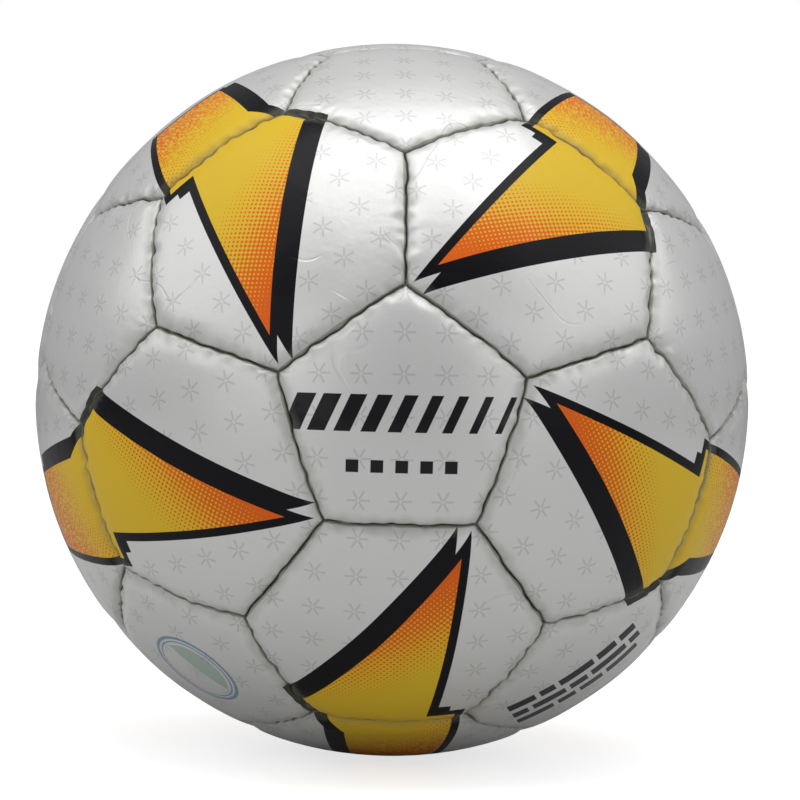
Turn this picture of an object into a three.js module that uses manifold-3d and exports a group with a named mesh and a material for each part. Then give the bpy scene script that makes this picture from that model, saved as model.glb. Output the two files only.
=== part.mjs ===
// A size 5 football: thirty-two stitched panels round an air bladder, with a valve whose core pulls out.
// Millimetres, +Z up, origin at the ball's centre. The front pentagon faces -Y with one corner up,
// and the valve sits in the hexagon just behind the top.

import * as THREE from "three";
import { mergeGeometries, mergeVertices } from "three/addons/utils/BufferGeometryUtils.js";
import Module from "manifold-3d";

// ---- Driving dimensions ----

const CIRCUMFERENCE = 691; // a size 5 ball is 680 to 700 round
const FIT_GAP = 0.3; // left between any two pieces that lie against each other

const PANEL_THICKNESS = 2.8; // skin, foam and cloth plies, laminated before the panels are cut
const SEAM_DEPTH = 1.3; // how far a seam lies below the crowns beside it
const EDGE_WIDTH = 4.2; // the strip along a seam where the panel rolls down into it
const FLANGE_THICKNESS = 2.2; // the folded edge, skived thinner than the panel
const FLANGE_PROUD = 4.2; // how far the folded edge stands in from the panel's inner face

const THREAD_DIAMETER = 0.9; // waxed polyester, doubled

const BLADDER_WALL = 0.9;

const NECK_WALL = 0.9; // the valve's wall round the core's head, where it comes through the panel
const NECK_RECESS = 0.7; // its mouth lies this far below the crown
const FOOT_RADIUS = 15; // the round foot that is bonded to the bladder
const FOOT_THICKNESS = 1.4;
const STEM_LENGTH = 11; // the part of the neck inside the bladder
const CORE_RADIUS = 2.3; // the rubber core that seals round a pump needle
const CORE_HEAD_LIP = 0.7; // the head stands out this far past the core
const CORE_HEAD_THICKNESS = 0.8;
const CORE_HEAD_RECESS = 0.2; // the head lies this far below the mouth
const CORE_END = 1.2; // rubber left closed below the needle channel
const CHANNEL_RADIUS = 0.7;
const FUNNEL_RADIUS = 1.3; // the channel's flared mouth
const FUNNEL_DEPTH = 1.6;

const PATCH_REACH = 7; // the rubber patch laps this far past the foot
const PATCH_THICKNESS = 0.7;
const WASHER_RADIUS = 14; // the cloth washer that stiffens the hole in the panel
const WASHER_THICKNESS = 0.5;
const BALANCE_RADIUS = 16; // the rubber patch opposite the valve that evens out its weight
const BALANCE_THICKNESS = 1.8;

// ---- How finely round shapes are cut ----

const SIDE_STEPS = 3; // along one side of a panel
const VALVE_STEPS = 24; // round the valve
const BLADDER_STEPS = 28; // round the bladder
const BLADDER_BANDS = 16; // from the valve to the far side
const CAP_BANDS = 3; // from the middle to the rim of a round patch
const CROWN_SHARE = 0.5; // where the ring halfway up a crown lies, as a share of the way from seam to middle
const MERGE_DISTANCE = 1e-3; // points nearer than this are one point

// ---- What follows from them ----

const ballRadius = CIRCUMFERENCE / (2 * Math.PI);
const seamRadius = ballRadius - SEAM_DEPTH;
const panelInnerRadius = ballRadius - PANEL_THICKNESS;
const flangeEndRadius = panelInnerRadius - FLANGE_PROUD;
const stitchRadius = (seamRadius + flangeEndRadius) / 2;
const seamInset = FIT_GAP / 2; // from the seam's plane to the face of each flange
const threadReach = THREAD_DIAMETER / Math.SQRT2; // from the cord's middle to one of its four corners
const channelReach = threadReach + FIT_GAP * Math.SQRT2; // the same for the channel it lies in

const SIDES_OF_HUB = 5;
const FIFTH_TURN = (2 * Math.PI) / SIDES_OF_HUB;
const RING_TILT = Math.atan(2); // from a pole of the icosahedron to the ring of corners nearest it
const NEIGHBOURS = 0.4; // two of its corners are joined if their directions' dot product is above this

// ---- Directions of the panels ----

// Tilt is measured from the front, -Y, and turn anticlockwise from +X as seen from the front.
function direction(tilt, turn) {
  const across = Math.sin(tilt);
  return new THREE.Vector3(across * Math.cos(turn), -Math.cos(tilt), across * Math.sin(turn));
}

const frontHub = direction(0, 0);
const backHub = direction(Math.PI, 0);
const frontRing = [];
const backRing = [];
for (let k = 0; k < SIDES_OF_HUB; k++) {
  frontRing.push(direction(RING_TILT, Math.PI / 2 + k * FIFTH_TURN));
  backRing.push(direction(Math.PI - RING_TILT, Math.PI / 2 + (k + 0.5) * FIFTH_TURN));
}
const hubs = [frontHub, ...frontRing, ...backRing, backHub];

// Each edge of the icosahedron is cut into three, and a seam corner lies at each cut.
function cornerTowards(hub, other) {
  return hub.clone().multiplyScalar(2).add(other).normalize();
}

// Corners in order round their middle, anticlockwise as seen from outside.
function inOrder(corners) {
  const middle = corners.reduce((sum, c) => sum.add(c), new THREE.Vector3()).normalize();
  const first = corners[0].clone().projectOnPlane(middle).normalize();
  const second = middle.clone().cross(first);
  const angle = (c) => Math.atan2(c.dot(second), c.dot(first));
  return { middle, corners: [...corners].sort((a, b) => angle(a) - angle(b)) };
}

function pentagon(hub) {
  const others = hubs.filter((h) => h !== hub && h.dot(hub) > NEIGHBOURS);
  return inOrder(others.map((other) => cornerTowards(hub, other)));
}

function hexagon(a, b, c) {
  const pairs = [[a, b], [b, a], [b, c], [c, b], [c, a], [a, c]];
  return inOrder(pairs.map(([hub, other]) => cornerTowards(hub, other)));
}

const valvePanelName = "valve_hexagon";
const panels = new Map();
panels.set("front_pentagon", pentagon(frontHub));
panels.set("back_pentagon", pentagon(backHub));
for (let k = 0; k < SIDES_OF_HUB; k++) {
  const next = (k + 1) % SIDES_OF_HUB;
  const before = (k + SIDES_OF_HUB - 1) % SIDES_OF_HUB;
  const number = k + 1;
  panels.set(`front_ring_pentagon_${number}`, pentagon(frontRing[k]));
  panels.set(`back_ring_pentagon_${number}`, pentagon(backRing[k]));
  panels.set(`front_hexagon_${number}`, hexagon(frontHub, frontRing[k], frontRing[next]));
  panels.set(`front_belt_hexagon_${number}`, hexagon(frontRing[k], frontRing[next], backRing[k]));
  const overTop = k === 0 ? valvePanelName : `back_belt_hexagon_${number}`;
  panels.set(overTop, hexagon(frontRing[k], backRing[before], backRing[k]));
  panels.set(`back_hexagon_${number}`, hexagon(backHub, backRing[before], backRing[k]));
}

// ---- Rings and the closed skins stretched over them ----

// The planes that hold a panel's seams, as unit vectors that point into the panel.
function seamPlanes({ corners }) {
  return corners.map((corner, k) => corner.clone().cross(corners[(k + 1) % corners.length]).normalize());
}

// A ring round a panel that stays one distance from each seam's plane and one distance from the centre.
function ring(panel, inset, radius) {
  const { corners } = panel;
  const planes = seamPlanes(panel);
  const count = corners.length;
  const turned = corners.map((corner, k) => {
    const before = planes[(k + count - 1) % count];
    const across = before.clone().add(planes[k]).multiplyScalar(inset / (1 + before.dot(planes[k])));
    return across.add(corner.clone().multiplyScalar(Math.sqrt(radius ** 2 - across.lengthSq())));
  });
  return turned.flatMap((start, k) => alongArc(start, turned[(k + 1) % count], planes[k], inset));
}

// Steps from start towards end along the circle in which they lie, without the end itself.
function alongArc(start, end, normal, inset) {
  const middle = normal.clone().multiplyScalar(inset);
  const from = start.clone().sub(middle);
  const angle = from.angleTo(end.clone().sub(middle));
  const points = [];
  for (let step = 0; step < SIDE_STEPS; step++) {
    const turn = (angle * step) / SIDE_STEPS;
    points.push(from.clone().applyAxisAngle(normal, turn).add(middle));
  }
  return points;
}

// Strips of faces from each ring to the next. All rings have as many points.
function band(rings) {
  const count = rings[0].length;
  const faces = [];
  for (let k = 0; k + 1 < rings.length; k++) {
    for (let j = 0; j < count; j++) {
      const upper = k * count;
      const lower = upper + count;
      const next = (j + 1) % count;
      faces.push(upper + j, lower + j, lower + next, upper + j, lower + next, upper + next);
    }
  }
  return new THREE.BufferGeometry().setFromPoints(rings.flat()).setIndex(faces);
}

// A closed skin over the rings, drawn together to a single point at either end.
function skin(first, rings, last) {
  const count = rings[0].length;
  const faces = band([new Array(count).fill(first), ...rings, new Array(count).fill(last)]);
  return mergeVertices(faces, MERGE_DISTANCE);
}

// ---- Cutting and joining ----

const wasm = await Module();
wasm.setup();

function solid(geometry) {
  const bare = geometry.clone().deleteAttribute("normal").deleteAttribute("uv");
  const merged = mergeVertices(bare);
  return new wasm.Manifold(
    new wasm.Mesh({
      numProp: 3,
      vertProperties: new Float32Array(merged.attributes.position.array),
      triVerts: new Uint32Array(merged.index.array),
    }),
  );
}

function geometryOf(manifold) {
  const { vertProperties, triVerts } = manifold.getMesh();
  return new THREE.BufferGeometry()
    .setAttribute("position", new THREE.BufferAttribute(vertProperties, 3))
    .setIndex(new THREE.BufferAttribute(triVerts, 1));
}

// ---- Panels ----

// From the middle of the crown over the rolled edge, down the mating face past the thread channel,
// round the end of the folded edge and back under the crown.
function panelGeometry(panel) {
  const { middle } = panel;
  const slope = seamPlanes(panel)[0].dot(middle); // sine of the angle from the middle to a side
  const crown = CROWN_SHARE * slope;
  const foldedInset = seamInset + FLANGE_THICKNESS;
  const section = [
    [crown * ballRadius, ballRadius],
    [EDGE_WIDTH, ballRadius],
    [seamInset, seamRadius],
    [seamInset, stitchRadius + channelReach - seamInset],
    [channelReach, stitchRadius],
    [seamInset, stitchRadius - channelReach + seamInset],
    [seamInset, flangeEndRadius],
    [foldedInset, flangeEndRadius],
    [foldedInset, panelInnerRadius],
    [crown * panelInnerRadius, panelInnerRadius],
  ];
  const rings = section.map(([inset, radius]) => ring(panel, inset, radius));
  const top = middle.clone().multiplyScalar(ballRadius);
  const bottom = middle.clone().multiplyScalar(panelInnerRadius);
  return skin(top, rings, bottom);
}

// ---- Seam thread ----

// A four-sided cord along every seam. Each panel's seams see two of its faces, one sloping outwards and one
// inwards, and together they close the whole net.
function threadGeometry() {
  const faces = [...panels.values()].map((panel) => {
    const outer = ring(panel, 0, stitchRadius + threadReach);
    const side = ring(panel, threadReach, stitchRadius);
    const inner = ring(panel, 0, stitchRadius - threadReach);
    return band([inner, side, outer]);
  });
  return mergeVertices(mergeGeometries(faces), MERGE_DISTANCE);
}

// ---- Bladder and valve, all turned about the valve's axis ----

// The seam ends are straight between their steps, so their middles lie a little nearer the centre.
const sideAngle = panels.get(valvePanelName).corners[0].angleTo(panels.get(valvePanelName).corners[1]);
const deepestFlange = flangeEndRadius * Math.cos(sideAngle / SIDE_STEPS / 2);
const crownRing = ring(
  panels.get(valvePanelName),
  CROWN_SHARE * panelInnerRadius * seamPlanes(panels.get(valvePanelName))[0].dot(panels.get(valvePanelName).middle),
  panelInnerRadius,
);
const crownAngle = Math.max(...crownRing.map((p) => p.angleTo(panels.get(valvePanelName).middle)));
const washerOuterRadius = panelInnerRadius * Math.cos(crownAngle / 2) - FIT_GAP;
const valveStack = WASHER_THICKNESS + FIT_GAP + PATCH_THICKNESS + FIT_GAP + FOOT_THICKNESS + FIT_GAP;

// The bladder rests on whatever reaches deepest: the folded edges or the layers round the valve.
const bladderRadius = Math.min(deepestFlange - FIT_GAP, washerOuterRadius - valveStack);
const footRadiusFromCentre = bladderRadius + FIT_GAP;
const footTopRadius = footRadiusFromCentre + FOOT_THICKNESS;
const patchOverFootRadius = footTopRadius + FIT_GAP;
const boreRadius = CORE_RADIUS + FIT_GAP;
const headRadius = CORE_RADIUS + CORE_HEAD_LIP;
const seatRadius = headRadius + FIT_GAP;
const neckRadius = seatRadius + NECK_WALL;
const holeRadius = neckRadius + FIT_GAP;
const mouthHeight = ballRadius - NECK_RECESS;
const headTop = mouthHeight - CORE_HEAD_RECESS;
const headBottom = headTop - CORE_HEAD_THICKNESS;
const stemEnd = bladderRadius - STEM_LENGTH;

// Points of a profile on a sphere of this radius, from one distance off the axis to another.
function arc(radius, from, to, bands = CAP_BANDS) {
  const points = [];
  for (let k = 0; k <= bands; k++) {
    const angle = THREE.MathUtils.lerp(Math.asin(from / radius), Math.asin(to / radius), k / bands);
    points.push([radius * Math.sin(angle), radius * Math.cos(angle)]);
  }
  return points;
}

// A profile of [distance off the axis, height], given anticlockwise, turned round the axis.
function turned(profile, steps) {
  return new THREE.LatheGeometry(profile.map(([x, y]) => new THREE.Vector2(x, y)), steps);
}

function closed(profile) {
  return [...profile, profile[0]];
}

function bladderGeometry() {
  const wall = (radius) => {
    const opening = Math.asin(holeRadius / radius);
    const points = [];
    for (let k = 0; k <= BLADDER_BANDS; k++) {
      const angle = THREE.MathUtils.lerp(opening, Math.PI, k / BLADDER_BANDS);
      points.push([k === BLADDER_BANDS ? 0 : radius * Math.sin(angle), radius * Math.cos(angle)]);
    }
    return points;
  };
  const outside = wall(bladderRadius).reverse();
  const inside = wall(bladderRadius - BLADDER_WALL);
  return turned([...outside, ...inside], BLADDER_STEPS);
}

function valveBodyGeometry() {
  return turned(
    closed([
      [boreRadius, stemEnd],
      [neckRadius, stemEnd],
      ...arc(footRadiusFromCentre, neckRadius, FOOT_RADIUS),
      ...arc(footTopRadius, neckRadius, FOOT_RADIUS).reverse(),
      [neckRadius, mouthHeight],
      [seatRadius, mouthHeight],
      [seatRadius, headBottom - FIT_GAP],
      [boreRadius, headBottom - FIT_GAP],
    ]),
    VALVE_STEPS,
  );
}

function valveCoreGeometry() {
  return turned(
    [
      [0, stemEnd],
      [CORE_RADIUS, stemEnd],
      [CORE_RADIUS, headBottom],
      [headRadius, headBottom],
      [headRadius, headTop],
      [FUNNEL_RADIUS, headTop],
      [CHANNEL_RADIUS, headTop - FUNNEL_DEPTH],
      [CHANNEL_RADIUS, stemEnd + CORE_END],
      [0, stemEnd + CORE_END],
    ],
    VALVE_STEPS,
  );
}

// Lies over the foot and steps down past its rim onto the bladder.
function valvePatchGeometry() {
  const step = FOOT_RADIUS + FIT_GAP;
  const reach = FOOT_RADIUS + PATCH_REACH;
  return turned(
    closed([
      ...arc(patchOverFootRadius, holeRadius, step),
      ...arc(footRadiusFromCentre, step, reach),
      ...arc(footRadiusFromCentre + PATCH_THICKNESS, step + PATCH_THICKNESS, reach).reverse(),
      ...arc(patchOverFootRadius + PATCH_THICKNESS, holeRadius, step + PATCH_THICKNESS).reverse(),
    ]),
    VALVE_STEPS,
  );
}

function valveWasherGeometry() {
  return turned(
    closed([
      ...arc(washerOuterRadius - WASHER_THICKNESS, holeRadius, WASHER_RADIUS),
      ...arc(washerOuterRadius, holeRadius, WASHER_RADIUS).reverse(),
    ]),
    VALVE_STEPS,
  );
}

function balancePatchGeometry() {
  return turned(
    [
      ...arc(footRadiusFromCentre, 0, BALANCE_RADIUS),
      ...arc(footRadiusFromCentre + BALANCE_THICKNESS, 0, BALANCE_RADIUS).reverse(),
    ],
    VALVE_STEPS,
  );
}

function cutForValve(geometry, axis) {
  const height = 4 * PANEL_THICKNESS;
  const drill = new THREE.CylinderGeometry(holeRadius, holeRadius, height, VALVE_STEPS);
  drill.applyQuaternion(new THREE.Quaternion().setFromUnitVectors(new THREE.Vector3(0, 1, 0), axis));
  drill.translate(...axis.clone().multiplyScalar(ballRadius).toArray());
  return geometryOf(solid(geometry).subtract(solid(drill)));
}

// ---- The ball ----

const coverMaterial = new THREE.MeshStandardMaterial({ color: 0xdcdcd8, roughness: 0.35, metalness: 0 });
const threadMaterial = new THREE.MeshStandardMaterial({ color: 0xb9b7a6, roughness: 0.8, metalness: 0 });
const bladderMaterial = new THREE.MeshStandardMaterial({ color: 0x2a2a2c, roughness: 0.6, metalness: 0 });
const rubberMaterial = new THREE.MeshStandardMaterial({ color: 0x18181a, roughness: 0.55, metalness: 0 });
const clothMaterial = new THREE.MeshStandardMaterial({ color: 0xc9c4b4, roughness: 0.95, metalness: 0 });

function named(name, geometry, material) {
  const mesh = new THREE.Mesh(geometry, material);
  mesh.name = name;
  return mesh;
}

const ball = new THREE.Group();
const valveAxis = panels.get(valvePanelName).middle;

for (const [name, panel] of panels) {
  const whole = panelGeometry(panel);
  const geometry = name === valvePanelName ? cutForValve(whole, valveAxis) : whole;
  ball.add(named(name, geometry, coverMaterial));
}
ball.add(named("seam_thread", threadGeometry(), threadMaterial));

const valve = new THREE.Group();
valve.quaternion.setFromUnitVectors(new THREE.Vector3(0, 1, 0), valveAxis);
valve.add(named("bladder", bladderGeometry(), bladderMaterial));
valve.add(named("valve_body", valveBodyGeometry(), rubberMaterial));
valve.add(named("valve_core", valveCoreGeometry(), rubberMaterial));
valve.add(named("valve_patch", valvePatchGeometry(), rubberMaterial));
valve.add(named("valve_washer", valveWasherGeometry(), clothMaterial));
const balancePatch = named("balance_patch", balancePatchGeometry(), rubberMaterial);
balancePatch.rotation.x = Math.PI;
valve.add(balancePatch);
ball.add(valve);

export default ball;
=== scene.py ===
# %% [markdown]
# # A stitched football
#
# This lesson dresses a finished CAD model of a size 5 football: thirty-two panels round a rubber
# bladder, with a valve whose core pulls out. The CAD gives the pieces their sizes and places. The lesson
# remakes the panels as plump, stitched skins, and gives each piece a finish worked out by nodes.

import math

import bpy
import numpy as np
from mathutils import Matrix, Vector


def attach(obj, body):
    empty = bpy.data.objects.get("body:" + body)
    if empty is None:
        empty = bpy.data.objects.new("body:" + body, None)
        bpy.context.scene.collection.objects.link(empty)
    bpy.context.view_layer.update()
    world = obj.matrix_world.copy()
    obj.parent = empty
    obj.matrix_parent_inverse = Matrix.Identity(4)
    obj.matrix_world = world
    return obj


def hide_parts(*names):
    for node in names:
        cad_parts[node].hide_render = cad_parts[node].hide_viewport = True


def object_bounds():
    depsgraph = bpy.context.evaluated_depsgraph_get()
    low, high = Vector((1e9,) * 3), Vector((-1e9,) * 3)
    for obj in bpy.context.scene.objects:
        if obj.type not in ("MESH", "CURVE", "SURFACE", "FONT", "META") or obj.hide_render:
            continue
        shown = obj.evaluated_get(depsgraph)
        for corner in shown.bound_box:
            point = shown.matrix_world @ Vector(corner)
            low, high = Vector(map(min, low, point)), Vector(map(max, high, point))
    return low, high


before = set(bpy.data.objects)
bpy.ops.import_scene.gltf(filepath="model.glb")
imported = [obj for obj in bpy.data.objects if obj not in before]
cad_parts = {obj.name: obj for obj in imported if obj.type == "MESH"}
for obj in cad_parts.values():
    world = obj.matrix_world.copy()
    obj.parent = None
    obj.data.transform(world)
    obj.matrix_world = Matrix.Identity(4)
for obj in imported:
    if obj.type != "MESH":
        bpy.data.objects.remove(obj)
cad_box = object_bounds()
MM = 0.001
ball_radius = cad_box[1].y / MM
print("ball radius in mm:", round(ball_radius, 2), "CAD nodes:", len(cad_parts))

# %% [markdown]
# ## Camera
#
# A ball has no flat side to line a camera up with, so its seams do that job: the camera stands almost
# straight in front of the front pentagon, a touch to its left and above, and leans a little. A long lens
# from ten ball radii away keeps the outline close to the ball's own circle.

# %% Stand the camera
AZIMUTH, ELEVATION, LEAN = math.radians(-1.6), math.radians(2.5), math.radians(1.4)
DISTANCE = 10 * ball_radius * MM
BALL_SHARE = 0.891  # the ball's outline across the picture's width
LEFT_OF_CENTRE = 0.0094  # how far left of the middle the ball sits, as a share of the width

towards_camera = Vector((
    math.sin(AZIMUTH) * math.cos(ELEVATION),
    -math.cos(AZIMUTH) * math.cos(ELEVATION),
    math.sin(ELEVATION),
))
camera = bpy.data.objects.new("camera", bpy.data.cameras.new("camera"))
bpy.context.scene.collection.objects.link(camera)
camera.location = towards_camera * DISTANCE
level = (-towards_camera).to_track_quat("-Z", "Y").to_matrix()
camera.rotation_euler = (level @ Matrix.Rotation(LEAN, 3, "Z")).to_euler()
outline_half_angle = math.asin(ball_radius * MM / DISTANCE)
camera.data.sensor_width = 36
camera.data.lens = 18 * BALL_SHARE / math.tan(outline_half_angle)
camera.data.shift_x = LEFT_OF_CENTRE
camera.data.clip_start, camera.data.clip_end = 0.01, 50
bpy.context.scene.camera = camera
print("lens in mm:", round(camera.data.lens, 1))

# %% [markdown]
# ## Shader maths
#
# A print on a ball is a picture drawn with numbers: how far a point lies inside an edge, how dark a dot
# should be. Written as nodes one by one, that is hard to read. This small class wraps a node's output, so
# that ordinary Python sums add the Math nodes. A `Maker` holds one material and adds every other kind of
# node, with its settings first and its inputs after.


# %% A number in a material
class Value:
    """An output of a node. Sums with it add Math nodes to the same material."""

    def __init__(self, maker, socket):
        self.maker, self.socket = maker, socket

    def __add__(self, other):
        return self.maker.math("ADD", self, other)

    def __sub__(self, other):
        return self.maker.math("SUBTRACT", self, other)

    def __rsub__(self, other):
        return self.maker.math("SUBTRACT", other, self)

    def __mul__(self, other):
        return self.maker.math("MULTIPLY", self, other)

    def __truediv__(self, other):
        return self.maker.math("DIVIDE", self, other)

    def __rtruediv__(self, other):
        return self.maker.math("DIVIDE", other, self)

    def __gt__(self, other):
        return self.maker.math("GREATER_THAN", self, other)

    def __and__(self, other):
        return self.maker.math("MINIMUM", self, other)

    def __or__(self, other):
        return self.maker.math("MAXIMUM", self, other)

    def __neg__(self):
        return self * -1

    def __abs__(self):
        return self.maker.math("ABSOLUTE", self)

    __radd__ = __add__
    __rmul__ = __mul__


# %% A material in the making
class Maker:
    """One material, and the one way to add nodes to it."""

    def __init__(self, name):
        self.material = bpy.data.materials.new(name)
        self.material.use_nodes = True
        self.tree = self.material.node_tree
        self.tree.nodes.clear()

    def add(self, kind, settings=None, inputs=None):
        node = self.tree.nodes.new(kind)
        for key, value in (settings or {}).items():
            setattr(node, key, value)
        for key, value in (inputs or {}).items():
            self.feed(node.inputs[key], value)
        return node

    def feed(self, socket, value):
        if isinstance(value, Value):
            self.tree.links.new(value.socket, socket)
        elif socket.type == "RGBA" and len(value) == 3:
            socket.default_value = (*value, 1)
        else:
            socket.default_value = value

    def get(self, kind, output, settings=None, inputs=None):
        return Value(self, self.add(kind, settings, inputs).outputs[output])

    def math(self, operation, *values):
        return self.get("ShaderNodeMath", 0, {"operation": operation}, dict(enumerate(values)))

    def vector(self, operation, output, *values):
        settings = {"operation": operation}
        return self.get("ShaderNodeVectorMath", output, settings, dict(enumerate(values)))

    def dot(self, place, direction):
        return self.vector("DOT_PRODUCT", "Value", place, tuple(direction))

    def mix(self, share, first, second):
        inputs = {"Factor": share, 6: first, 7: second}
        return self.get("ShaderNodeMix", 2, {"data_type": "RGBA"}, inputs)

    def noise(self, place, scale, detail=2.0, roughness=0.5):
        inputs = {"Vector": place, "Scale": scale, "Detail": detail, "Roughness": roughness}
        return self.get("ShaderNodeTexNoise", "Fac", None, inputs)

    def soft_step(self, value, width):
        """0 below -width / 2, 1 above width / 2 and a straight slope between."""
        inputs = {"Value": value, "From Min": -width / 2, "From Max": width / 2}
        return self.get("ShaderNodeMapRange", 0, None, inputs)

    def surface(self, bump=None, **sockets):
        """The Principled shader that ends a material. Socket names have _ for a space."""
        inputs = {key.replace("_", " "): value for key, value in sockets.items()}
        if bump:
            height, distance = bump
            inputs["Normal"] = self.get(
                "ShaderNodeBump", 0, None, {"Height": height, "Distance": distance * MM}
            )
        shader = self.add("ShaderNodeBsdfPrincipled", None, inputs)
        output = self.add("ShaderNodeOutputMaterial")
        self.tree.links.new(shader.outputs[0], output.inputs[0])
        return self.material


def object_place(maker):
    """The point's own place on the ball, in metres. It stays with the ball when the ball moves."""
    return maker.get("ShaderNodeTexCoord", "Object")


# %% [markdown]
# ## Floor and light
#
# A glossy ball shows its lamps, so their size matters as much as their strength. One broad softbox
# overhead leaves a wide bright patch on the upper panels, as a light tent does. A weaker one high on each
# side lights the flanks, and two weak panels in front and a weak world fill the rest. The pale floor
# throws light back on the lower panels. Its paper and the world glow white for the camera alone, so that
# they light the ball no more for it and don't show in its gloss. The paper glows less under the ball,
# where the shadow is.

# %% Lay the floor
FLOOR_HALF = 6.0
FLOOR_CLEARANCE = 0.1  # millimetres, so that the skin's unevenness doesn't dip through the floor
floor_height = -(ball_radius + FLOOR_CLEARANCE) * MM
floor_mesh = bpy.data.meshes.new("floor")
corners = [(x * FLOOR_HALF, y * FLOOR_HALF, floor_height) for x, y in ((-1, -1), (1, -1), (1, 1), (-1, 1))]
floor_mesh.from_pydata(corners, [], [(0, 1, 2, 3)])
floor = bpy.data.objects.new("floor", floor_mesh)
bpy.context.scene.collection.objects.link(floor)

maker = Maker("floor_paper")
grain = maker.noise(object_place(maker), 900.0)
paper = maker.add("ShaderNodeBsdfDiffuse", None, {"Color": maker.mix(grain, (0.60,) * 3, (0.64,) * 3)})
path = maker.add("ShaderNodeLightPath")
from_ball = maker.vector("LENGTH", "Value", object_place(maker))
far_off = maker.soft_step(from_ball - 5 * ball_radius * MM, 4 * ball_radius * MM)
seen = Value(maker, path.outputs["Is Camera Ray"]) * (far_off * 0.28 + 0.72)
glow = maker.add("ShaderNodeEmission", None, {"Color": (1, 1, 1), "Strength": seen})
both = maker.add("ShaderNodeAddShader")
output = maker.add("ShaderNodeOutputMaterial")
maker.tree.links.new(paper.outputs[0], both.inputs[0])
maker.tree.links.new(glow.outputs[0], both.inputs[1])
maker.tree.links.new(both.outputs[0], output.inputs[0])
floor_mesh.materials.append(maker.material)

# %% Hang the lights
world = bpy.data.worlds.new("studio")
bpy.context.scene.world = world
world.use_nodes = True
sky = world.node_tree.nodes
sky.clear()
links = world.node_tree.links
ray = sky.new("ShaderNodeLightPath")
fill = sky.new("ShaderNodeBackground")
fill.inputs["Color"].default_value = (0.96, 0.98, 1.0, 1)
fill.inputs["Strength"].default_value = 0.25
white = sky.new("ShaderNodeBackground")
white.inputs["Color"].default_value = (1, 1, 1, 1)
white.inputs["Strength"].default_value = 1.0
choose = sky.new("ShaderNodeMixShader")
end = sky.new("ShaderNodeOutputWorld")
links.new(ray.outputs["Is Camera Ray"], choose.inputs[0])
links.new(fill.outputs[0], choose.inputs[1])
links.new(white.outputs[0], choose.inputs[2])
links.new(choose.outputs[0], end.inputs[0])


def softbox(name, place, size, power, colour=(1, 1, 1)):
    """A flat rectangular lamp at a place in ball radii, facing the ball's centre."""
    lamp = bpy.data.lights.new(name, "AREA")
    lamp.shape, lamp.size, lamp.size_y = "RECTANGLE", *size
    lamp.energy, lamp.color = power, colour
    holder = bpy.data.objects.new(name, lamp)
    bpy.context.scene.collection.objects.link(holder)
    holder.location = Vector(place) * ball_radius * MM
    holder.rotation_euler = (-holder.location).to_track_quat("-Z", "Y").to_euler()


softbox("key_light", (0.45, -1.3, 8.0), (0.98, 0.80), 5.1)
softbox("left_light", (-6.5, -0.9, 5.6), (0.9, 0.9), 2.5)
softbox("right_light", (6.5, -0.9, 5.6), (0.9, 0.9), 2.2)
softbox("left_fill", (-5.5, -7.5, 2.0), (0.7, 0.7), 1.0)
softbox("right_fill", (6.0, -7.0, 1.0), (0.6, 0.8), 0.9)
bpy.context.scene.view_settings.view_transform = "Standard"

# %% [markdown]
# ## Where the panels go
#
# Take an icosahedron, cut off its twelve corners a third of the way along each edge, and blow it up: the
# cuts become pentagons and the faces become hexagons. Every seam corner is therefore two parts of one
# icosahedron corner and one part of its neighbour. The names below are those of the CAD nodes that the
# new skins replace.

# %% Find the seam corners of every panel
FIFTH = math.tau / 5
RING_TILT = math.atan(2)
NEIGHBOURS = 0.4  # joined corners of the icosahedron have directions whose dot product is above this


def direction(tilt, turn):
    """Tilt from the front, -Y, and turn anticlockwise from +X as seen from the front."""
    return np.array([math.sin(tilt) * math.cos(turn), -math.cos(tilt), math.sin(tilt) * math.sin(turn)])


def unit(v):
    return v / np.linalg.norm(v, axis=-1, keepdims=True)


front_hub, back_hub = direction(0, 0), direction(math.pi, 0)
front_ring = [direction(RING_TILT, math.pi / 2 + k * FIFTH) for k in range(5)]
back_ring = [direction(math.pi - RING_TILT, math.pi / 2 + (k + 0.5) * FIFTH) for k in range(5)]
hubs = [front_hub, *front_ring, *back_ring, back_hub]


def in_order(corners):
    middle = unit(sum(corners))
    first = unit(corners[0] - middle * (corners[0] @ middle))
    second = np.cross(middle, first)
    return np.array(sorted(corners, key=lambda c: math.atan2(c @ second, c @ first)))


def pentagon(hub):
    others = [h for h in hubs if h is not hub and h @ hub > NEIGHBOURS]
    return in_order([unit(2 * hub + other) for other in others])


def hexagon(a, b, c):
    pairs = [(a, b), (b, a), (b, c), (c, b), (c, a), (a, c)]
    return in_order([unit(2 * one + other) for one, other in pairs])


panels = {"front_pentagon": pentagon(front_hub), "back_pentagon": pentagon(back_hub)}
for k in range(5):
    after, before = (k + 1) % 5, (k + 4) % 5
    over_top = "valve_hexagon" if k == 0 else f"back_belt_hexagon_{k + 1}"
    panels[f"front_ring_pentagon_{k + 1}"] = pentagon(front_ring[k])
    panels[f"back_ring_pentagon_{k + 1}"] = pentagon(back_ring[k])
    panels[f"front_hexagon_{k + 1}"] = hexagon(front_hub, front_ring[k], front_ring[after])
    panels[f"front_belt_hexagon_{k + 1}"] = hexagon(front_ring[k], front_ring[after], back_ring[k])
    panels[over_top] = hexagon(front_ring[k], back_ring[before], back_ring[k])
    panels[f"back_hexagon_{k + 1}"] = hexagon(back_hub, back_ring[before], back_ring[k])
valve_axis = unit(panels["valve_hexagon"].sum(axis=0))
print("panels:", len(panels), "valve axis:", valve_axis.round(3))

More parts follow.
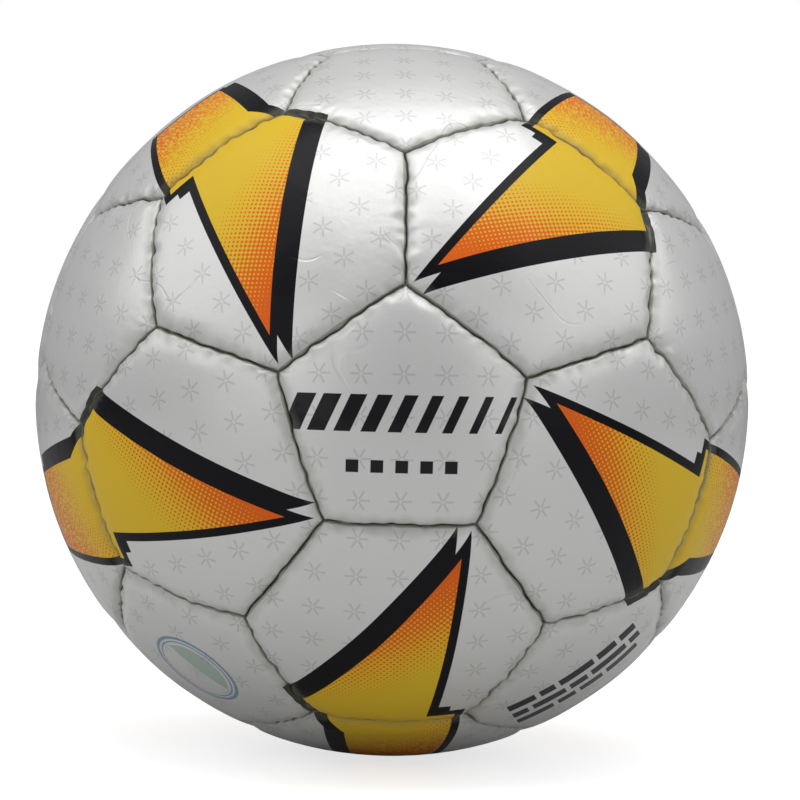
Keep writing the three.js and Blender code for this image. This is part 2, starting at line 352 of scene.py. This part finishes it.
# %% [markdown]
# ## A stitched panel
#
# Each panel is cut flat from foam-backed skin. Its edges are folded in and stitched to the next panel's
# from the inside, so from outside there is only a narrow groove. The air pushes the panel out and every
# stitch pulls its edge in, which leaves a row of small dimples along the groove and fine creases across
# it.
#
# A subdivided box with a bevel could pass for a pillow, but its seams would not meet the next panel's.
# Here the panel is a stack of closed rings instead. Each ring keeps one distance from the seams and one
# depth, so the shape can be written down as the section through an edge.

# %% The section of a panel, in millimetres
STEPS = 54  # points along one side: six to a stitch
STITCHES = 9  # stitches along one side
PANEL_THICKNESS = 2.8
OUTSIDE = [  # inset from the seam, depth below the crown
    (6.6, 0.02), (5.2, 0.08), (4.0, 0.18), (3.05, 0.31), (2.3, 0.46), (1.65, 0.63), (1.15, 0.80),
    (0.78, 0.98), (0.52, 1.19), (0.35, 1.46), (0.25, 1.85), (0.19, 2.75),
]
FOLDED_EDGE = [
    (0.15, 3.2), (1.06, 4.2), (0.15, 5.2), (0.15, 6.7), (0.45, 7.0), (2.05, 7.0), (2.35, 6.7),
    (2.35, 4.4), (3.2, 3.4), (5.0, PANEL_THICKNESS),
]
CROWN_SHARES = [0.94, 0.82, 0.68, 0.54, 0.40, 0.27, 0.13]  # from the middle to the first ring outside


def rings_of(corners, section):
    """Points on rings round a panel, as an array of rings by points by 3."""
    normals = unit(np.cross(corners, np.roll(corners, -1, axis=0)))
    before = np.roll(normals, 1, axis=0)
    rings = []
    t = (np.arange(STEPS) / STEPS)[None, :, None]
    for inset, depth in section:
        radius = ball_radius - depth
        lean = (before + normals) * (inset / (1 + np.sum(before * normals, axis=1)))[:, None]
        turn = lean + corners * np.sqrt(radius**2 - np.sum(lean**2, axis=1))[:, None]
        centre = normals * inset
        start, end = turn - centre, np.roll(turn, -1, axis=0) - centre
        cosine = np.sum(start * end, axis=1) / np.sum(start * start, axis=1)
        angle = np.arccos(np.clip(cosine, -1, 1))[:, None, None]
        safe = np.maximum(angle, 1e-9)
        along = (np.sin((1 - t) * safe) * start[:, None] + np.sin(t * safe) * end[:, None]) / np.sin(safe)
        rings.append((along + centre[:, None]).reshape(-1, 3))
    return np.array(rings)


# %% Dimples, creases and the slight unevenness of handwork
def waves(places, wavelengths, seed, count=14):
    """A smooth uneven field from a sum of sines, the same every run. About -1 to 1."""
    draw = np.random.default_rng(seed)
    total = np.zeros(len(places))
    for _ in range(count):
        way = unit(draw.normal(size=places.shape[1]))
        length = draw.uniform(*wavelengths)
        total += np.sin(places @ way * math.tau / length + draw.uniform(0, math.tau))
    return total / math.sqrt(count)


DIMPLE, CREASE, UNEVEN = 0.50, 0.085, 0.12  # depths in millimetres
CORNER_REACH, CORNER_PULL = 3.6, 0.85  # how wide and how deep a corner is drawn in where three seams meet
CREASE_WAVES, RING_APART = (1.9, 5.0), 0.35  # wavelengths of the creases, and how far each ring shifts them
SEAM_WAVES, SEAM_WANDER = (4.6, 13), 0.27  # the seams' own wandering, the same for both sides of a seam


def handwork(points, insets, side, seed):
    """Pushes every ring outside the seam about, as stitches and air do."""
    insets = np.asarray(insets)[:, None]
    sides = len(points[0]) // STEPS
    along = np.tile(np.arange(STEPS) / STEPS, sides)
    away_from_corner = np.clip(np.minimum(along, 1 - along) * STITCHES * 1.5, 0, 1)
    stitch = (0.5 + 0.5 * np.cos(along * math.tau * STITCHES)) * away_from_corner
    which_side = 97.0 * np.repeat(np.arange(sides), STEPS)
    creases = []
    for ring in range(len(points)):
        places = np.column_stack([along * side + which_side, np.full(len(along), ring * RING_APART)])
        creases.append(waves(places, CREASE_WAVES, seed + 500))
    flat = points.reshape(-1, 3)
    uneven = waves(flat, (22, 60), seed).reshape(points.shape[:2])
    pull = waves(flat, (4.5, 16), 7).reshape(points.shape[:2])  # one field for all panels
    push = DIMPLE * stitch * (1 + 0.5 * pull) * np.exp(-((insets / 1.9) ** 1.5))
    push += CREASE * np.array(creases) * away_from_corner * np.exp(-insets / 3.2)
    push += UNEVEN * uneven * np.clip(insets / 6, 0.35, 1)
    corner = np.exp(-((np.minimum(along, 1 - along) * side / CORNER_REACH) ** 2))
    push += CORNER_PULL * corner * np.exp(-insets / 2.6)
    wander = np.stack([waves(flat, SEAM_WAVES, 40 + axis) for axis in range(3)], axis=-1)
    fade = SEAM_WANDER * np.exp(-((insets / 3.0) ** 2))
    return points * (1 - push / ball_radius)[:, :, None] + wander.reshape(points.shape) * fade[:, :, None]


# %% Build one panel
UV_SPAN = 114.2  # millimetres across the whole texture
HOLE_RADIUS = 4.5


def panel_axes(middle):
    """Right and up on a panel as seen from outside. Up points to the front pentagon's middle."""
    up_hint = np.array([0, 0, 1.0]) if abs(middle[1]) > 0.99 else front_hub
    up = unit(up_hint - middle * (up_hint @ middle))
    return np.cross(up, middle), up


def panel_mesh(name, corners, seed):
    middle = unit(corners.sum(axis=0))
    slope = math.sin(math.acos(unit(corners[0] + corners[1]) @ middle))
    reach = ball_radius * slope
    first = OUTSIDE[0][0] + 1.6
    crown = [(first + (reach - first) * share, 0.0) for share in CROWN_SHARES] + [(first, 0.0)]
    under = [(5.0 + (reach - 6.0) * share, PANEL_THICKNESS) for share in (0.1, 0.3, 0.55, 0.8)]
    section = [*crown, *OUTSIDE, *FOLDED_EDGE, *under]
    points = rings_of(corners, section)
    side = ball_radius * math.acos(corners[0] @ corners[1])
    outer = len(crown) + len(OUTSIDE)
    points[:outer] = handwork(points[:outer], [s[0] for s in section[:outer]], side, seed)
    right, up = panel_axes(middle)
    hole = name == "valve_hexagon"
    if hole:
        points = open_for_valve(points, middle, right, up)
    rings, count = points.shape[:2]
    verts = points.reshape(-1, 3)
    index = np.arange(rings * count).reshape(rings, count)
    a, b = index[:-1], index[1:]
    quads = np.stack([a, b, np.roll(b, -1, axis=1), np.roll(a, -1, axis=1)], axis=-1).reshape(-1, 4)
    faces = [tuple(q) for q in quads.tolist()]
    if hole:
        a, b = index[-1], index[0]
        faces += list(zip(a.tolist(), b.tolist(), np.roll(b, -1).tolist(), np.roll(a, -1).tolist()))
    else:
        top_radius = np.linalg.norm(points[0], axis=1).mean()
        ends = np.array([middle * top_radius, middle * (ball_radius - PANEL_THICKNESS)])
        verts = np.vstack([verts, ends])
        top, bottom = len(verts) - 2, len(verts) - 1
        faces += [(top, i, j) for i, j in zip(index[0].tolist(), np.roll(index[0], -1).tolist())]
        faces += [(bottom, j, i) for i, j in zip(index[-1].tolist(), np.roll(index[-1], -1).tolist())]
    mesh = bpy.data.meshes.new(name + "_skin")
    mesh.from_pydata((verts * MM).tolist(), [], faces)
    lay_out(mesh, verts, rings, count, outer, middle, right, up)
    mesh.shade_smooth()
    return mesh


# %% Open the panel for the valve
OPENING_REACH = 34.0  # the rings within this distance of the valve make room for it


def open_for_valve(points, middle, right, up):
    """Draws the innermost rings out to a round hole instead of letting them close."""
    flat = points @ np.column_stack([right, up, middle])
    away = np.hypot(flat[..., 0], flat[..., 1])
    grown = HOLE_RADIUS + away * (1 - HOLE_RADIUS / OPENING_REACH)
    scale = np.where(away < OPENING_REACH, grown / np.maximum(away, 1e-6), 1.0)
    total = np.linalg.norm(flat, axis=-1)
    flat[..., 0] *= scale
    flat[..., 1] *= scale
    flat[..., 2] = np.sqrt(total**2 - flat[..., 0] ** 2 - flat[..., 1] ** 2)
    back = np.column_stack([right, up, middle]).T
    turn = np.arctan2(flat[0, :, 1], flat[0, :, 0])

    def rim(radius, depth):
        high = math.sqrt((ball_radius - depth) ** 2 - radius**2)
        circle = np.column_stack([radius * np.cos(turn), radius * np.sin(turn), np.full(len(turn), high)])
        return (circle @ back)[None]

    edge = [rim(HOLE_RADIUS, 0.5), rim(HOLE_RADIUS + 0.12, 0.12), rim(HOLE_RADIUS + 0.5, 0.0)]
    return np.concatenate([*edge, flat @ back, rim(HOLE_RADIUS, PANEL_THICKNESS)])


# %% Lay the panel out flat for its print and its finish
def lay_out(mesh, verts, rings, count, outer, middle, right, up):
    """Millimetres on the flattened panel as UVs, and each point's distance from the seam."""
    extra = rings - outer if len(verts) == rings * count else 0
    towards = unit(verts)
    angle = np.arccos(np.clip(towards @ middle, -1, 1))
    flat = np.column_stack([verts @ right, verts @ up])
    flat *= (ball_radius * angle / np.maximum(np.hypot(*flat.T), 1e-6))[:, None]
    shown = outer + (3 if extra else 0)
    edge = flat[(shown - 1) * count : shown * count]
    for ring in range(shown, rings):
        grow = 1 + 0.2 * (ring - shown + 1) / (rings - shown)
        flat[ring * count : (ring + 1) * count] = edge * grow
    uv = mesh.uv_layers.new(name="OFBake")
    loops = np.empty(len(mesh.loops), dtype=np.int32)
    mesh.loops.foreach_get("vertex_index", loops)
    places = flat[loops]
    centre = len(verts) - 1
    if not extra:  # the fan under the crown: its middle lies just outside the last ring
        for tri in np.nonzero(loops == centre)[0]:
            start = tri - tri_offset(loops, tri, centre)
            others = [i for i in range(start, start + 3) if loops[i] != centre]
            places[tri] = sum(flat[loops[i]] for i in others) / 2 * 1.01
    uv.data.foreach_set("uv", (places / UV_SPAN + 0.5).ravel())
    inset = np.min(side_distances(verts, count, outer), axis=0)
    layer = mesh.attributes.new("from_seam", "FLOAT", "POINT")
    layer.data.foreach_set("value", inset)


def tri_offset(loops, at, centre):
    """Which of its triangle's three loops this one is: the bottom fan is written last, three to a face."""
    return 2 - (len(loops) - 1 - at) % 3


def side_distances(verts, count, outer):
    """How far each point lies inside each of the panel's sides."""
    ring = verts[(outer - 1) * count : outer * count]
    corners = unit(ring[::STEPS])
    normals = unit(np.cross(corners, np.roll(corners, -1, axis=0)))
    return normals @ verts.T


for number, (name, corners) in enumerate(panels.items()):
    skin = bpy.data.objects.new(name + "_skin", panel_mesh(name, corners, number))
    bpy.context.scene.collection.objects.link(skin)
    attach(skin, "ball")
    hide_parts(name)

# %% [markdown]
# ## The print
#
# The ball carries ten jagged bolts, five round the front and five round the back, each running over the
# seams of several panels. The print is worked out from the place on the whole ball, so it lines up across
# every seam.
#
# A picture file would need ten copies and would blur. Here one plain lightning flash is drawn once, from
# two straight-edged shards and their drop shadow, on a flat sheet of artwork. The nodes find where on that
# sheet a point of the ball lies: the front is folded into five equal sectors, and the back is the front
# turned over about X.

# %% From the ball to the sheet of artwork
SHEET_TILT, SHEET_TURN = math.radians(48), math.radians(140)
SWAP_WAVE = 0.3  # how far the front and back halves reach over the middle, as a share of the radius
ball_rim = ball_radius * MM

sheet_middle = direction(SHEET_TILT, SHEET_TURN)
sheet_along = direction(SHEET_TILT + math.pi / 2, SHEET_TURN)
sheet_across = np.array([-math.sin(SHEET_TURN), 0, math.cos(SHEET_TURN)])


def artwork_place(m):
    """A vector of the point's place on the sheet, (along, across, 1), in millimetres."""
    split = m.add("ShaderNodeSeparateXYZ", None, {"Vector": object_place(m)})
    x, y, z = (Value(m, split.outputs[k]) for k in range(3))
    turn = m.math("ARCTAN2", z, x)
    swap = -y - SWAP_WAVE * ball_rim * m.math("SINE", turn * 5)
    half = (swap > 0) * 2 - 1
    turned = turn * half
    sector = m.math("ROUND", (turned - SHEET_TURN) / FIFTH)
    folded = turned - sector * FIFTH
    away = m.math("SQRT", x * x + z * z)
    cosine, sine = m.math("COSINE", folded), m.math("SINE", folded)
    place = m.get("ShaderNodeCombineXYZ", 0, None, {0: away * cosine, 1: y * half, 2: away * sine})
    depth = m.dot(place, sheet_middle)
    along = m.dot(place, sheet_along * ball_radius) / depth
    across = m.dot(place, sheet_across * ball_radius) / depth
    return m.get("ShaderNodeCombineXYZ", 0, None, {0: along, 1: across, 2: 1.0})


# %% Shards
def shard(m, place, *points):
    """How many millimetres a place lies inside a convex shape; negative outside."""
    inside = None
    middle = np.mean(points, axis=0)
    for (x0, y0), (x1, y1) in zip(points, points[1:] + points[:1]):
        normal = unit(np.array([y0 - y1, x1 - x0]))
        offset = -normal @ (x0, y0)
        if normal @ middle + offset < 0:
            normal, offset = -normal, -offset
        distance = m.dot(place, (*normal, offset))
        inside = distance if inside is None else inside & distance
    return inside


# %% One bolt
OUTLINE = 2.7  # the black edge, in millimetres
SHADOW = np.array([-3.5, -4.0])  # how far the black drop shadow lies from the bolt
INK_EDGE = 0.12
ORANGE, YELLOW, BLACK = (0.80, 0.135, 0.010), (0.77, 0.51, 0.028), (0.004, 0.004, 0.006)
BOLT_HEAD = np.array([(72, -14), (72, -48), (6, -40), (14, 0)])
BOLT_TIP = np.array([(4, -54), (-60, 14), (24, -12), (34, -38)])


def bolt(m, place):
    """The ink's share and colour at a place on the sheet: a plain lightning flash of two shards."""
    head, tip = shard(m, place, *BOLT_HEAD.tolist()), shard(m, place, *BOLT_TIP.tolist())
    shadow = [shard(m, place, *(half + SHADOW).tolist()) for half in (BOLT_HEAD, BOLT_TIP)]
    body = head | tip
    ink = m.soft_step(body | shadow[0] | shadow[1], INK_EDGE)
    colour = m.mix(dots(m, place), ORANGE, YELLOW)
    colour = m.mix(flecks(m, place), colour, YELLOW)
    colour = m.mix(m.soft_step(body - OUTLINE, INK_EDGE), BLACK, colour)
    return ink, colour


# %% Half-tone dots and flecks
DOT_PITCH = 1.4


def dots(m, place):
    """Solid yellow in the middle of the bolt that breaks into a screen of dots towards both ends."""
    a = m.math("COSINE", m.dot(place, (0.8 * math.tau / DOT_PITCH, 0.6 * math.tau / DOT_PITCH, 0)))
    b = m.math("COSINE", m.dot(place, (-0.6 * math.tau / DOT_PITCH, 0.8 * math.tau / DOT_PITCH, 0)))
    screen = (a + b) * 0.25 + 0.5
    from_middle = abs(m.dot(place, (1, 0.35, -2)))
    return m.soft_step(1.35 - from_middle * 0.03 - screen, 0.15)


def flecks(m, place):
    """Yellow spatter over the orange at the head's end."""
    strokes = m.vector("MULTIPLY", 0, place, (0.55, 1.3, 1))
    marks = m.noise(strokes, 0.8, 3.0, 0.6)
    return m.soft_step(marks - 0.52, 0.03) * m.soft_step(m.dot(place, (1, 0, -26)), 4.0)


# %% [markdown]
# ## The pearl skin
#
# The skin is a clear-coated polyurethane with pearl flakes: brighter than paint where a lamp is mirrored
# and greyer beside it. A little metal under a clear coat does that. A faint all-over mark, a six-rayed
# star every 12 mm, is printed in grey before the clear coat. Dust and hand grease gather in the grooves,
# so the skin turns a greenish grey within two or three millimetres of a seam. The thin dark line on the
# groove's walls, within about half a millimetre of the seam, is painted shade in the groove, with some of
# that grime.

# %% The small grey stars
STAR_PITCH, STAR_ARM, STAR_HEART, STAR_LINE = 12.0, 3.2, 0.5, 0.27


def panel_place(m):
    """The point's place on its flattened panel, from the panel's middle, in millimetres."""
    uv = m.get("ShaderNodeUVMap", 0, {"uv_map": "OFBake"})
    from_middle = m.vector("SUBTRACT", 0, uv, (0.5, 0.5, 0))
    flat = m.vector("MULTIPLY", 0, from_middle, (UV_SPAN, UV_SPAN, 0))
    return m.vector("ADD", 0, flat, (0, 0, 1))


def stars(m, place):
    half = STAR_PITCH / 2
    cell = m.get(
        "ShaderNodeVectorMath", 0, {"operation": "WRAP"},
        {0: place, 1: (half, half, 2), 2: (-half, -half, -2)},
    )
    star = None
    for angle in (0, 60, 120):
        c, s = math.cos(math.radians(angle)), math.sin(math.radians(angle))
        line = STAR_LINE - abs(m.dot(cell, (-s, c, 0)))
        out = abs(m.dot(cell, (c, s, 0)))
        arm = line & (STAR_ARM - out) & (out - STAR_HEART)
        star = arm if star is None else star | arm
    return m.soft_step(star, 0.34)


# %% The cover
# The third grey is both the grime near the seams and the painted shade of the thin dark line in the groove.
PEARL, STAR_GREY, GROOVE_GRIME_AND_SHADE = (0.74, 0.74, 0.725), (0.56, 0.56, 0.55), (0.25, 0.26, 0.20)


def cover_finish(name, mark=None):
    m = Maker(name)
    place = panel_place(m)
    pearl = m.mix(stars(m, place) * 0.85, PEARL, STAR_GREY)
    if mark:
        share, colour = mark(m, place)
        pearl = m.mix(share, pearl, colour)
    ink, ink_colour = bolt(m, artwork_place(m))
    colour = m.mix(ink, pearl, ink_colour)
    inset = m.get("ShaderNodeAttribute", "Fac", {"attribute_name": "from_seam"})
    dirt_noise = m.noise(object_place(m), 160.0, 3.0)
    grime = m.soft_step((dirt_noise * 5.0 - 0.4) - inset, 2.6) * 0.28
    # Painted shade: a thin dark line on the groove's walls, within about half a millimetre of the seam,
    # where the groove lies in shade; partly grime.
    line = m.soft_step((dirt_noise * 0.6 + 0.08) - inset, 0.3) * 0.75
    # The grime and the painted groove shade both pull the colour towards the greenish grey.
    colour = m.mix(grime | line, colour, GROOVE_GRIME_AND_SHADE)
    peel = m.noise(object_place(m), 420.0, 2.0)
    creases = m.noise(object_place(m), 70.0, 4.0, 0.62)
    hairline = m.soft_step(0.004 - abs(m.noise(object_place(m), 28.0, 1.0) - 0.5), 0.004)
    hairline = hairline * m.soft_step(m.noise(object_place(m), 40.0, 1.0) - 0.58, 0.06)
    metal = (1 - ink) * 0.36
    rough = creases * 0.14 + 0.29 + grime * 0.5
    return m.surface(
        bump=(peel * 0.25 + creases - hairline * 0.4, 0.22),
        Base_Color=colour, Metallic=metal, Roughness=rough, Specular_IOR_Level=0.12,
        Coat_Weight=(1 - ink) * 0.22 + 0.05, Coat_Roughness=0.07,
    )


# %% [markdown]
# ## Plain marks
#
# A ball carries printed marks in the middle of some panels. Here they are plain shapes that say nothing:
# a row of slanted bars and five pips on the front pentagon, a double ring on one lower panel and three
# rows of short bars on another. Bars and pips are unions of shards, and a ring is a band at one distance
# from its middle. All are printed under the clear coat.

# %% Bars, pips and rings
MARK_BLACK, MARK_BLUE, MARK_GREEN = (0.012, 0.012, 0.014), (0.10, 0.26, 0.42), (0.10, 0.34, 0.20)
RING_PLACE, RING_RADIUS = (0.0, 0.0), 14.0
ROW_START, ROW_GAP, ROW_HIGH = -24.0, 1.6, 4.2
ROW_BARS = [(8.0, (9, 5, 12, 7, 6)), (1.0, (5, 11, 6, 13, 4)), (-6.0, (12, 6, 8, 12))]


def block(m, place, x, y, wide, high, slant=0.0):
    """A small bar about (x, y), leaning to the right by slant."""
    shape = []
    for across, along in ((-1, -1), (1, -1), (1, 1), (-1, 1)):
        shape.append((x + across * wide / 2 + along * high / 2 * slant, y + along * high / 2))
    return shard(m, place, *shape)


def united(shapes):
    whole = shapes[0]
    for shape in shapes[1:]:
        whole = whole | shape
    return whole


def bars_and_pips(m, place):
    bars = [block(m, place, 7.4 * (k - 4), 1.0, 5.6 - 0.45 * k, 10.5, 0.45) for k in range(9)]
    pips = [block(m, place, 7.0 * (k - 2), -14.0, 3.6, 3.6) for k in range(5)]
    return m.soft_step(united(bars + pips), INK_EDGE), MARK_BLACK


def double_ring(m, place):
    away = m.vector("DISTANCE", "Value", place, (*RING_PLACE, 1))
    outer = 0.55 - abs(away - RING_RADIUS)
    inner = 0.28 - abs(away - RING_RADIUS + 1.6)
    half_moon = m.dot(place, (0, 1, -RING_PLACE[1] - 2)) & (RING_RADIUS - 3 - away)
    ground = m.soft_step(half_moon, INK_EDGE)
    colour = m.mix(ground, MARK_BLUE, MARK_GREEN)
    return (m.soft_step(outer | inner, INK_EDGE) * 0.8) | (ground * 0.45), colour


def bar_rows(m, place):
    rows = []
    for y, lengths in ROW_BARS:
        x = ROW_START
        for long in lengths:
            rows.append(block(m, place, x + long / 2, y, long, ROW_HIGH))
            x += long + ROW_GAP
    return m.soft_step(united(rows), INK_EDGE), MARK_BLACK


# %% Dress the panels
cover = cover_finish("pearl_cover")
marked = {
    "front_pentagon": cover_finish("pearl_cover_bars", bars_and_pips),
    "front_ring_pentagon_3": cover_finish("pearl_cover_ring", double_ring),
    "front_ring_pentagon_4": cover_finish("pearl_cover_rows", bar_rows),
}
for name in panels:
    bpy.data.objects[name + "_skin"].data.materials.append(marked.get(name, cover))

# %% [markdown]
# ## The valve
#
# The valve is moulded rubber: a neck through the panel with a foot bonded to the bladder, and a softer
# core that a pump needle pushes through. The core pulls out, so its skin rides on its own body. Both are
# turned shapes, spun from the section with every edge rounded off as moulded rubber is.

# %% Turn the valve's two pieces
TURN_STEPS = 72
EDGE_ROUND = 0.28
FIT_GAP = 0.3
core_radius, head_radius, neck_radius, channel_radius, funnel_radius = 2.3, 3.0, 4.2, 0.7, 1.3
foot_radius, foot_low, foot_high = 15.0, 102.74, 104.14
mouth, stem_end = ball_radius - 0.7, 91.44
head_top = mouth - 0.2
head_bottom = head_top - 0.8
channel_top, channel_end = head_top - 1.6, stem_end + 1.2


def softened(section, on_axis=False):
    """The section with each corner cut by a small arc."""
    out = []
    count = len(section)
    for i, here in enumerate(section):
        here = np.array(here, float)
        if on_axis and i in (0, count - 1):
            out.append(here)
            continue
        before, after = np.array(section[i - 1], float), np.array(section[(i + 1) % count], float)
        to_before, to_after = before - here, after - here
        cut = min(EDGE_ROUND, 0.4 * np.linalg.norm(to_before), 0.4 * np.linalg.norm(to_after))
        a, b = here + unit(to_before) * cut, here + unit(to_after) * cut
        out += [(1 - t) ** 2 * a + 2 * t * (1 - t) * here + t * t * b for t in np.linspace(0, 1, 5)]
    return np.array(out)


def turned(name, section, on_axis=False):
    """Spins a section of (radius, height) points about the valve's axis."""
    right, up = panel_axes(valve_axis)
    section = softened(section, on_axis)
    start, end = (1, -1) if on_axis else (0, len(section))
    ring = section[start:end]
    turn = np.arange(TURN_STEPS) * math.tau / TURN_STEPS
    round_way = np.cos(turn)[:, None] * right + np.sin(turn)[:, None] * up
    verts = (ring[:, 0, None, None] * round_way + ring[:, 1, None, None] * valve_axis).reshape(-1, 3)
    index = np.arange(len(verts)).reshape(len(ring), TURN_STEPS)
    a, b = (index[:-1], index[1:]) if on_axis else (index, np.roll(index, -1, axis=0))
    quads = np.stack([a, np.roll(a, -1, axis=1), np.roll(b, -1, axis=1), b], axis=-1).reshape(-1, 4)
    faces = [tuple(q) for q in quads.tolist()]
    if on_axis:
        low, high = len(verts), len(verts) + 1
        verts = np.vstack([verts, valve_axis * section[0, 1], valve_axis * section[-1, 1]])
        faces += [(low, j, i) for i, j in zip(index[0].tolist(), np.roll(index[0], -1).tolist())]
        faces += [(high, i, j) for i, j in zip(index[-1].tolist(), np.roll(index[-1], -1).tolist())]
    mesh = bpy.data.meshes.new(name)
    mesh.from_pydata((verts * MM).tolist(), [], faces)
    mesh.shade_smooth()
    piece = bpy.data.objects.new(name, mesh)
    bpy.context.scene.collection.objects.link(piece)
    return piece


def on_sphere(radius, start, end, steps=9):
    return [(r, math.sqrt(radius**2 - r**2)) for r in np.linspace(start, end, steps)]


bore, seat = core_radius + FIT_GAP, head_radius + FIT_GAP
valve_body_skin = turned("valve_body_skin", [
    (bore, stem_end), (neck_radius, stem_end),
    *on_sphere(foot_low, neck_radius, foot_radius), *on_sphere(foot_high, neck_radius, foot_radius)[::-1],
    (neck_radius, mouth), (seat, mouth), (seat, head_bottom - FIT_GAP), (bore, head_bottom - FIT_GAP),
])
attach(valve_body_skin, "ball")
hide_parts("valve_body")
valve_core_skin = turned("valve_core_skin", [
    (0, stem_end), (core_radius, stem_end), (core_radius, head_bottom), (head_radius, head_bottom),
    (head_radius, head_top), (funnel_radius, head_top), (channel_radius, channel_top),
    (channel_radius, channel_end), (0, channel_end),
], on_axis=True)
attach(valve_core_skin, "valve_core")
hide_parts("valve_core")

# %% [markdown]
# ## Rubber, thread and cloth
#
# Most of these pieces are hidden in a whole ball. They are finished all the same, so that the ball can be
# opened up or a piece used on its own. Rubber has a dusting of talc that gathers in patches, the thread is
# two waxed strands twisted together, and the washer is plain-woven cotton. All of it is read from the
# place on the ball, so nothing needs unwrapping.


# %% Rubber
def rubber(name, colour, talc, rough):
    m = Maker(name)
    place = object_place(m)
    patches = m.noise(place, 50.0, 4.0, 0.6)
    grain = m.noise(place, 2400.0, 2.0)
    dust = m.soft_step(patches - 0.52, 0.25) * 0.5
    return m.surface(
        bump=(grain + patches * 0.5, 0.05),
        Base_Color=m.mix(dust, colour, talc), Roughness=patches * 0.2 + rough, Coat_Weight=0.05,
    )


# %% Thread and cloth
def waxed_thread(name):
    m = Maker(name)
    place = object_place(m)
    twist = m.math("SINE", m.dot(place, (5200.0, 4100.0, 4700.0)))
    fuzz = m.noise(place, 2600.0, 3.0)
    return m.surface(
        bump=(twist * 0.5 + fuzz * 0.4, 0.12),
        Base_Color=m.mix(twist * 0.35 + fuzz * 0.4, (0.72, 0.71, 0.64), (0.46, 0.44, 0.36)),
        Roughness=fuzz * 0.3 + 0.42,
    )


def woven_cotton(name):
    m = Maker(name)
    place = object_place(m)
    warp = m.math("SINE", m.dot(place, (9000.0, 0, 0)))
    weft = m.math("SINE", m.dot(place, (0, 9000.0, 1200.0)))
    weave = warp * weft * 0.5 + 0.5
    slub = m.noise(place, 900.0, 3.0)
    return m.surface(
        bump=(weave + slub * 0.5, 0.15),
        Base_Color=m.mix(weave * 0.4 + slub * 0.4, (0.78, 0.76, 0.70), (0.52, 0.50, 0.44)),
        Roughness=slub * 0.2 + 0.75,
    )


# %% Give every inner piece its finish
finishes = {
    "bladder": rubber("bladder_rubber", (0.030, 0.030, 0.034), (0.16, 0.16, 0.16), 0.42),
    "valve_patch": rubber("patch_rubber", (0.022, 0.022, 0.024), (0.12, 0.12, 0.12), 0.5),
    "balance_patch": rubber("balance_rubber", (0.022, 0.022, 0.024), (0.12, 0.12, 0.12), 0.5),
    "seam_thread": waxed_thread("waxed_thread"),
    "valve_washer": woven_cotton("washer_cotton"),
}
for node, finish in finishes.items():
    carried = bpy.data.objects[node]
    for place_for_finish in carried.material_slots:
        place_for_finish.material = finish
valve_finish = rubber("valve_rubber", (0.013, 0.013, 0.015), (0.05, 0.05, 0.05), 0.45)
core_finish = rubber("core_rubber", (0.020, 0.020, 0.021), (0.07, 0.07, 0.07), 0.4)
valve_body_skin.data.materials.append(valve_finish)
valve_core_skin.data.materials.append(core_finish)
print("finishes on inner pieces:", len(finishes) + 2)
